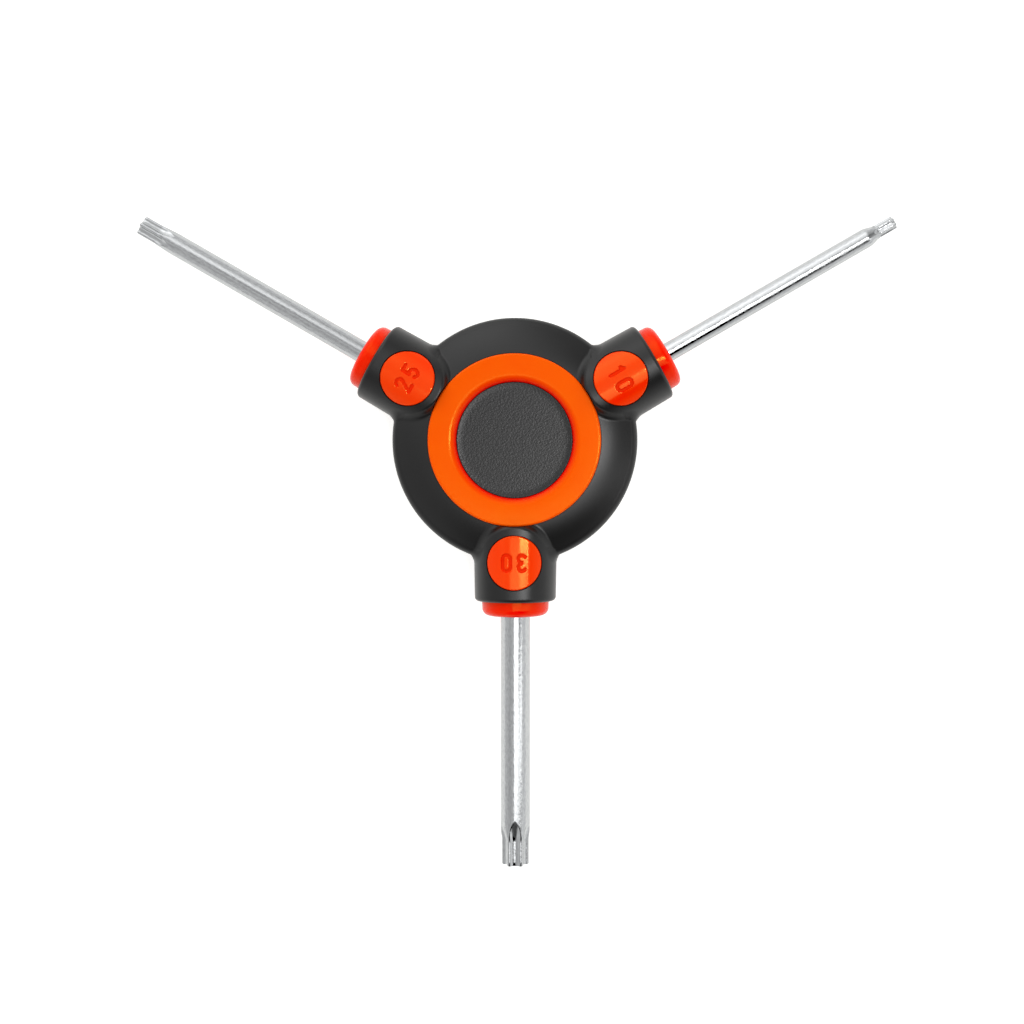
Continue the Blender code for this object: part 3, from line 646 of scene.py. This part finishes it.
# Size tabs: round inlays that carry on the neck's skin, with a size number pressed into each
tab = {
    "gap": 0.03, "sink": 0.1, "edgeRound": 0.2, "thickness": 1.4, "cells": 88, "snap": 0.62,
    # The digits: size, stroke, how deep and steep they are pressed, and how far apart they stand
    "halfWidth": 0.76, "halfHeight": 1.6, "stroke": 0.6, "wallSlope": 0.12, "depth": 0.26, "pitch": 3.05,
    # Heights of the bows of 0, 2, 3 and 5, how far 3 and 5 sit to the left, and the middle of 5's bow
    "bows": {"0": 0.6992, "2": 0.72, "3": 0.76, "5": 0.9}, "lean": -0.05, "fiveMiddle": -0.62,
}


def arcOf(x, y, radiusX, radiusY, start, end, steps=14):
    turns = [radians(start + (end - start) * step / steps) for step in range(steps + 1)]
    return [(x + radiusX * cos(turn), y + radiusY * sin(turn)) for turn in turns]


def digitStrokes():  # each digit as centre lines from its middle, with corners in shares of its half size
    wide, high, bows, lean = tab["halfWidth"], tab["halfHeight"], tab["bows"], tab["lean"]
    oval = (arcOf(0, high - bows["0"], wide, bows["0"], 0, 180)
            + arcOf(0, bows["0"] - high, wide, bows["0"], 180, 360))
    return {
        "0": [oval + oval[:1]],
        "1": [[(-0.62 * wide, 0.6 * high), (0.15 * wide, high), (0.15 * wide, -high)]],
        "2": [arcOf(0, high - bows["2"], wide, bows["2"], 165, -30) + [(-wide, -high), (wide, -high)]],
        "3": [
            arcOf(lean, high - bows["3"], wide * 0.95, bows["3"], 150, -90),
            arcOf(lean, bows["3"] - high, wide, bows["3"], 90, -150),
        ],
        "5": [[(0.9 * wide, high), (-0.8 * wide, high), (-0.9 * wide, 0.1)]
              + arcOf(lean, tab["fiveMiddle"], wide, bows["5"], 125, -150)],
    }


def strokeDistance(points, size):  # distance from the number's centre lines, and the nearest place on them
    nearest = np.zeros_like(points)
    distance = np.full(len(points), np.inf)
    digits = digitStrokes()
    for place, digit in enumerate(str(size)):
        middle = (place - (len(str(size)) - 1) / 2) * tab["pitch"]
        for stroke in digits[digit]:
            line = np.array(stroke) + (middle, 0)
            for start, end in zip(line, line[1:]):
                lift = end - start
                share = np.clip((points - start) @ lift / max(lift @ lift, 1e-9), 0, 1)
                spot = start + share[:, None] * lift
                away = np.linalg.norm(points - spot, axis=1)
                closer = away < distance
                distance = np.where(closer, away, distance)
                nearest[closer] = spot[closer]
    return distance, nearest


def tabMesh(size):
    cells, flat = tab["cells"], tabRadius - tab["gap"] - tab["edgeRound"]
    ticks = np.linspace(-1, 1, cells + 1)
    across, up = np.meshgrid(ticks, ticks, indexing="ij")
    grid = np.stack([across * np.sqrt(1 - up**2 / 2), up * np.sqrt(1 - across**2 / 2)], axis=2)
    grid = grid.reshape(-1, 2) * flat
    distance, nearest = strokeDistance(grid, size)
    away = (grid - nearest) / np.maximum(distance, 1e-6)[:, None]
    reach, tolerance = tab["stroke"] / 2, flat / cells
    for contour in (reach + tab["wallSlope"] / 2, reach - tab["wallSlope"] / 2):
        near = np.abs(distance - contour) < tolerance * tab["snap"]  # grid lines follow the strokes' edges
        grid[near] = (nearest + away * contour)[near]
        distance = np.where(near, contour, distance)
    pressed = np.clip((reach + tab["wallSlope"] / 2 - distance) / tab["wallSlope"], 0, 1) * tab["depth"]
    # Faces deep in the digits get the darker red: painted shade in the pressed digits
    shadePainted = pressed > tab["depth"] / 2
    # The number's top points out along the arm, and it reads towards the neck's right side
    x, y = tabReach + grid[:, 1], -grid[:, 0]
    points = [np.stack([x, y, skinHeight(x, y, tab["sink"]) - pressed], axis=1)]
    count = cells + 1
    corners = [column * count + row for column in range(cells) for row in range(cells)]
    faces = [(corner, corner + count, corner + count + 1, corner + 1) for corner in corners]
    edge = ([column * count for column in range(cells)]
            + [cells * count + row for row in range(cells)]
            + [column * count + cells for column in range(cells, 0, -1)]
            + list(range(cells, 0, -1)))
    rim = points[0][edge]
    turns = np.arctan2(rim[:, 1], rim[:, 0] - tabReach)
    steps = [
        (flat + tab["edgeRound"] * sin(bend), tab["edgeRound"] * (1 - cos(bend)))
        for bend in (pi / 6, pi / 3, pi / 2)
    ]
    steps += [(flat + tab["edgeRound"], tab["thickness"])]
    steps += [((flat + tab["edgeRound"]) * share, tab["thickness"]) for share in (0.8, 0.6, 0.4, 0.2)]
    previous, total = edge, len(points[0])
    for radius, drop in steps:
        x, y = tabReach + radius * np.cos(turns), radius * np.sin(turns)
        points.append(np.stack([x, y, skinHeight(x, y, tab["sink"]) - drop], axis=1))
        current = list(range(total, total + len(edge)))
        total += len(edge)
        for index in range(len(edge)):
            after = (index + 1) % len(edge)
            faces.append((previous[after], previous[index], current[index], current[after]))
        previous = current
    centre = np.array([[tabReach, 0, neckHeight - tab["sink"] - tab["thickness"]]])
    points.append(centre)
    faces += [(previous[(index + 1) % len(edge)], previous[index], total) for index in range(len(edge))]
    shape = bmesh.new()
    shape.from_mesh(meshFrom(f"tab {size}", np.concatenate(points), faces))
    mesh = meshOf(f"tab {size}", shape)
    mesh.materials.append(tabAbs)
    mesh.materials.append(digitShadeAbs)
    # Digit floors take the darker red of painted shade
    for face in mesh.polygons[:cells * cells]:
        face.material_index = int(shadePainted[list(face.vertices)].sum() >= 2)
    return mesh


print("Size tabs")
for size, turn in armTurn.items():
    for side, over in faceTurn.items():
        fit(f"tab.{side}.{size}", tabMesh(size), tabAbs, f"{side}_tab_{size}",
            [("Z", turn), ("X", over)], sharpAngle=50)


# Collars: domed, with soft edges, and a sleeve that reaches into the neck
collar = {
    "radius": 6.85, "tipRadius": 6.76, "sleeveRadius": 4.1, "boreGap": 0.1, "seatGap": 0.3, "edgeRound": 1.5,
    "boreRound": 0.25, "rootRound": 0.5, "rootReach": 0.25, "dome": 0.3, "sides": 160, "edgeSteps": 8,
}


def collarMesh(size, bar):
    start, end = reachOf(f"collar_{size}", armTurn[size])
    bore = bar + collar["boreGap"]
    shoulder = shell["collarSeat"] + collar["seatGap"]
    profile = softened([
        (bore, end, collar["boreRound"]),
        (collar["tipRadius"], end - collar["dome"], collar["edgeRound"]),
        (collar["radius"], neckReach + collar["rootReach"], collar["rootRound"]),
        (collar["radius"], shoulder, 0),
        (collar["sleeveRadius"], shoulder, 0),
        (collar["sleeveRadius"], start, 0),
        (bore, start, 0),
    ], steps=collar["edgeSteps"])
    return turned("collar", profile, collar["sides"], closed=True)


# Keys: drawn round bar, a six-lobed section formed at the tip, and flats where the core holds the other end
keys = {
    30: {"bar": 3.0, "tip": 2.76, "taper": (8.4, 3.9), "groove": (9.7, 5.1), "turn": 0},
    25: {"bar": 2.25, "tip": 2.215, "taper": (5.3, 2.3), "groove": (7.6, 3.9), "turn": 30},
    10: {"bar": 2.0, "tip": 1.38, "taper": (6.8, 3.9), "groove": (6.0, 3.8), "turn": 0},
}
keyForm = {
    "valleyShare": 0.72, "grooveShare": 0.214, "endRound": 0.22, "dome": 0.08,
    "flatShare": 0.8, "flatEnd": 19.0, "endChamfer": 0.4, "pinReach": 14.0, "pinRadius": 0.9, "pinHalf": 5,
    # The cross sections along a key: where its plain bar is drawn, and how many stand in each stretch
    "plainStart": 30.0, "plainEnd": 38.0, "plainSteps": 8, "grooveSteps": 36, "tipSteps": 6, "around": 192,
    "flatStep": 0.01, "grooveStep": 0.05,
}


def lobeRadius(turns, tip):  # the six-lobed section: grooves and lobes are arcs that meet in line
    turns = np.abs((turns + pi / 6) % (pi / 3) - pi / 6)
    groove = keyForm["grooveShare"] * 2 * tip
    middle = keyForm["valleyShare"] * tip + groove
    slant = cos(pi / 6)
    lobe = (tip**2 + middle**2 - 2 * tip * middle * slant - groove**2) / (2 * (groove + tip - middle * slant))
    lobeX, lobeY = (tip - lobe) * slant, (tip - lobe) / 2
    share = groove / (groove + lobe)
    meet = atan2(lobeY * share, middle + (lobeX - middle) * share)
    inGroove = middle * np.cos(turns) - np.sqrt(np.maximum(groove**2 - (middle * np.sin(turns)) ** 2, 0))
    slanted, core = pi / 6 - turns, tip - lobe
    inLobe = core * np.cos(slanted) + np.sqrt(np.maximum(lobe**2 - (core * np.sin(slanted)) ** 2, 0))
    return np.where(turns < meet, inGroove, inLobe)


def eased(share):
    share = np.clip(share, 0, 1)
    return share * share * (3 - 2 * share)


def keyMesh(size):
    key = keys[size]
    start, end = reachOf(f"key_{size}", armTurn[size])
    turns = np.linspace(0, 2 * pi, keyForm["around"], endpoint=False)
    lobes = lobeRadius(turns - radians(key["turn"]), key["tip"])
    grooveStart, grooveFull = end - key["groove"][0], end - key["groove"][1]
    taperStart, taperEnd = end - key["taper"][0], end - key["taper"][1]
    formed, full = min(grooveStart, taperStart), max(grooveFull, taperEnd)
    flatEnd, tipEnd = keyForm["flatEnd"], end - keyForm["endRound"] - keyForm["dome"]
    places = [
        start + keyForm["endChamfer"], flatEnd - keyForm["flatStep"], flatEnd, keyForm["plainStart"],
        *np.linspace(keyForm["plainEnd"], formed - keyForm["grooveStep"], keyForm["plainSteps"]),
        *np.linspace(formed, full, keyForm["grooveSteps"]),
        *np.linspace(full, tipEnd, keyForm["tipSteps"])[1:],
    ]
    rings = []

    def addRing(place, radii):
        along = np.full_like(turns, place)
        rings.append(np.stack([along, radii * np.sin(turns), radii * np.cos(turns)], axis=1))

    def sectionAt(place):
        bar = key["bar"] + (key["tip"] - key["bar"]) * eased((place - taperStart) / (taperEnd - taperStart))
        depth = eased((place - grooveStart) / (grooveFull - grooveStart))
        lift = (key["bar"] - keyForm["valleyShare"] * key["tip"]) * (1 - depth)
        section = np.minimum(bar, lobes + lift)
        if place < flatEnd:
            flat = keyForm["flatShare"] * key["bar"]
            section = np.minimum(section, flat / np.maximum(np.abs(np.cos(turns)), 1e-6))
        return section

    first = sectionAt(places[0])
    addRing(start, first - keyForm["endChamfer"])
    for place in places:
        addRing(place, sectionAt(place))
    last = sectionAt(end)
    for bend in (pi / 6, pi / 3, pi / 2):
        away = keyForm["endRound"] * (1 - sin(bend))
        addRing(end - keyForm["dome"] - away, last - keyForm["endRound"] * (1 - cos(bend)))
    for share in (0.75, 0.45):
        addRing(end - keyForm["dome"] * share**2, (last - keyForm["endRound"]) * share)
    count = len(turns)
    points = np.concatenate([*rings, [[start, 0, 0], [end, 0, 0]]])
    faces = []
    for ringIndex in range(len(rings) - 1):
        base = ringIndex * count
        for index in range(count):
            after = (index + 1) % count
            faces.append((base + index, base + after, base + count + after, base + count + index))
    lastBase = (len(rings) - 1) * count
    for index in range(count):
        after = (index + 1) % count
        faces.append((after, index, len(points) - 2))
        faces.append((lastBase + index, lastBase + after, len(points) - 1))
    shape = bmesh.new()
    shape.from_mesh(meshFrom(f"key {size}", points, faces))
    part = addObject("key blank", meshOf("key blank", shape))
    hole = bmesh.new()
    addPost(hole, keyForm["pinRadius"], keyForm["pinReach"], -keyForm["pinHalf"], keyForm["pinHalf"],
            sides=shell["holeSides"])
    cut(part, "DIFFERENCE", "pin hole", hole)
    return settled(part)


print("Collars and keys")
for size, turn in armTurn.items():
    fit(f"collar.{size}", collarMesh(size, keys[size]["bar"]), shadedCollarAbs, f"collar_{size}",
        [("Z", turn), ("Y", pi / 2)])
    fit(f"key.{size}", keyMesh(size), chrome, f"key_{size}", [("Z", turn)], sharpAngle=40)

for name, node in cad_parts.items():  # the pieces inside keep their solids
    if name.startswith(("anchor_pin", "shell_screw", "hub_core")):
        node.material_slots[0].material = sinteredSteel if name == "hub_core" else zincSteel


# Floor: matt white board, over-lit as in a cut-out photograph, while the object sees it as pale grey
studio = {
    "floorSize": 3.0, "floor": "#d6d6d4", "floorPaler": "#dcdcda", "floorGlow": "#dededc", "fibre": 1.2,
    "floorLevel": 0.6, "room": 0.8,
    # Soft paler and darker patches of the room: way, tilt from straight up, full width, faded width, gain
    "patches": [
        (98, 37, 6, 28, 0.34), (126, 38, 8, 34, 0.42), (112, 66, 8, 32, 0.6), (-6, 62, 12, 40, 0.1),
        (225, 62, 10, 40, -0.08), (200, 30, 8, 30, -0.12), (280, 46, 15, 42, -0.7), (315, 60, 8, 26, 0.18),
        (185, 55, 8, 34, -0.1), (16, 40, 8, 32, -0.5), (324, 36, 6, 26, -0.42), (62, 46, 8, 26, -0.26),
        (150, 16, 5, 13, -0.35),
    ],
}


def addFloor():
    half = studio["floorSize"] / 2
    corners = [(-half, -half, 0), (half, -half, 0), (half, half, 0), (-half, half, 0)]
    mesh = meshFrom("floor", corners, [(0, 1, 2, 3)])
    material, tree, shader = newMaterial(
        "board, matt white", {"Roughness": 0.8, "Emission Color": linear(studio["floorGlow"])})
    place = addNode(tree, "ShaderNodeTexCoord", {}).outputs["Object"]
    fibre = addNode(
        tree, "ShaderNodeTexNoise", {"Scale": perMetre(studio["fibre"]), "Detail": 4.0}, {"Vector": place})
    colour = addNode(tree, "ShaderNodeValToRGB", {
        "stops": [(0.3, linear(studio["floor"])), (0.7, linear(studio["floorPaler"]))],
    }, {"Fac": fibre.outputs["Fac"]})
    tree.links.new(colour.outputs["Color"], shader.inputs["Base Color"])
    seen = addNode(tree, "ShaderNodeLightPath", {}).outputs["Is Camera Ray"]
    glow = addNode(
        tree, "ShaderNodeMapRange", {"To Min": studio["floorLevel"], "To Max": 1.0}, {"Value": seen})
    tree.links.new(glow.outputs["Result"], shader.inputs["Emission Strength"])
    mesh.materials.append(material)
    floor = addObject("floor", mesh)
    floor.location.z = cadBox[0].z


def towards(way, tilt):  # a direction from a compass angle and a tilt from straight up, in degrees
    way, tilt = radians(way), radians(tilt)
    return Vector((sin(tilt) * cos(way), sin(tilt) * sin(way), cos(tilt)))


def addWorld():
    world = bpy.data.worlds.new("studio")
    world.use_nodes = True
    bpy.context.scene.world = world
    tree = world.node_tree
    place = addNode(tree, "ShaderNodeTexCoord", {}).outputs["Generated"]
    level = addNode(tree, "ShaderNodeValue", {}).outputs["Value"]
    level.default_value = studio["room"]
    for way, tilt, full, faded, gain in studio["patches"]:
        facing = addNode(
            tree, "ShaderNodeVectorMath", {"operation": "DOT_PRODUCT", 1: towards(way, tilt)}, {0: place})
        patch = addNode(tree, "ShaderNodeMapRange", {
            "interpolation_type": "SMOOTHSTEP", "From Min": cos(radians(faded)),
            "From Max": cos(radians(full)), "To Min": 0.0, "To Max": gain,
        }, {"Value": facing.outputs["Value"]})
        level = addNode(
            tree, "ShaderNodeMath", {"operation": "ADD"}, {0: level, 1: patch.outputs["Result"]}).outputs[0]
    tree.links.new(level, tree.nodes["Background"].inputs["Strength"])
    tree.nodes["Background"].inputs["Color"].default_value = (1, 1, 1, 1)


# Lamps: level panels over the object, in metres: left, right, near and far edges, height, radiance
lamps = {
    "softbox": (-0.11, 1.15, -0.31, -0.17, 0.8, 1.7),
    "softboxEnd": (-0.11, 0.36, -0.17, -0.03, 0.8, 1.7),
    "core": (0.11, 0.42, -0.05, 0.035, 0.8, 18.0),
}


def addLamp(name, left, right, near, far, height, radiance):
    data = bpy.data.lights.new(name, "AREA")
    data.shape = "RECTANGLE"
    data.size, data.size_y = right - left, far - near
    data.energy = radiance * pi * data.size * data.size_y
    lamp = addObject(name, data)
    lamp.location = ((left + right) / 2, (near + far) / 2, height)
    lamp.visible_camera = False


# Camera: straight above, over a point to the right of the hub
camera = {"height": 0.310, "footX": 10.5, "footY": -5.0, "viewWidth": 210.0, "viewX": -0.7, "viewY": -14.66}


def addCamera():
    data = bpy.data.cameras.new("camera")
    data.sensor_width = 36
    data.lens = data.sensor_width * camera["height"] / (camera["viewWidth"] * mm)
    data.shift_x = (camera["viewX"] - camera["footX"]) / camera["viewWidth"]
    data.shift_y = (camera["viewY"] - camera["footY"]) / camera["viewWidth"]
    made = addObject("camera", data)
    made.location = (camera["footX"] * mm, camera["footY"] * mm, hubHeight + camera["height"])
    bpy.context.scene.camera = made


print("Studio")
addFloor()
addWorld()
for name, facts in lamps.items():
    addLamp(name, *facts)
addCamera()
bpy.context.scene.view_settings.view_transform = "Standard"

bpy.context.view_layer.update()
